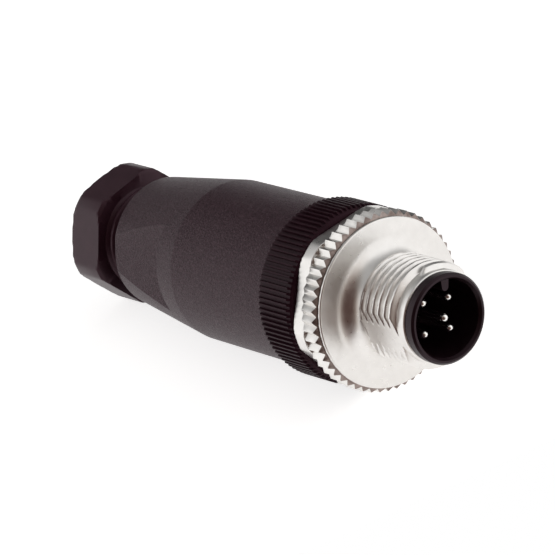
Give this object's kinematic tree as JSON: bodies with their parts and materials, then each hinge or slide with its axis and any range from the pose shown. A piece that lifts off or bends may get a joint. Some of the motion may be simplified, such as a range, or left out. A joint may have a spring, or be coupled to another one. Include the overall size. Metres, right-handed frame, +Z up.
{
  "type": "m12 connector",
  "caption": "Straight circular male connector with turning metal coupling ring, ribbed grip, tapered housing with wrench flats and a hexagonal cable gland screw.",
  "frame": {"origin": "on the connector's axis, half way along the coupling thread", "axes": "+X along the axis out of the mating end, +Z up, with one side of the gland screw's hexagon facing down"},
  "size_m": [0.0611, 0.0206, 0.0206],
  "materials": {
    "carrier_plastic": "satin moulded",
    "contact_metal": "plated, polished",
    "screw_steel": "zinc plated",
    "ring_metal": "satin nickel plated",
    "grip_plastic": "smooth moulded",
    "seal_rubber": "smooth",
    "housing_plastic": "fine sand texture",
    "cable_rubber": "smooth",
    "cage_plastic": "smooth moulded",
    "gland_plastic": "smooth moulded"
  },
  "bodies": {
    "insert": {"contact_carrier": "carrier_plastic", "pin_1": "contact_metal", "pin_2": "contact_metal", "pin_3": "contact_metal", "pin_4": "contact_metal", "pin_5": "contact_metal", "terminal_screw_1": "screw_steel", "terminal_screw_2": "screw_steel", "terminal_screw_3": "screw_steel", "terminal_screw_4": "screw_steel", "terminal_screw_5": "screw_steel", "grip_ring": "grip_plastic", "housing_seal": "seal_rubber"},
    "ring": {"coupling_ring": "ring_metal"},
    "seal": {"cable_seal": "cable_rubber"},
    "shell": {"housing": "housing_plastic"},
    "cage": {"clamp_cage": "cage_plastic"},
    "gland": {"gland_screw": "gland_plastic"}
  },
  "joints": [
    {"name": "ring_spin", "type": "hinge", "parent": "insert", "child": "ring", "pos_m": [0, 0, 0], "axis": [1, 0, 0], "continuous": true},
    {"name": "housing_travel", "type": "slide", "parent": "insert", "child": "seal", "axis": [-1, 0, 0], "range_m": [0, 0.004]},
    {"name": "housing_turn", "type": "hinge", "parent": "seal", "child": "shell", "pos_m": [-0.03, 0, 0], "axis": [-1, 0, 0], "range_deg": [0, 1440]},
    {"name": "gland_travel", "type": "slide", "parent": "shell", "child": "cage", "axis": [-1, 0, 0], "range_m": [-0.0031, 0.0013]},
    {"name": "gland_turn", "type": "hinge", "parent": "cage", "child": "gland", "pos_m": [-0.05, 0, 0], "axis": [-1, 0, 0], "range_deg": [-880, 370]}
  ],
  "couplings": [
    {"joint": "housing_turn", "follows": "housing_travel", "rad_per_m": 6283.2},
    {"joint": "gland_turn", "follows": "gland_travel", "rad_per_m": 4947.4}
  ]
}
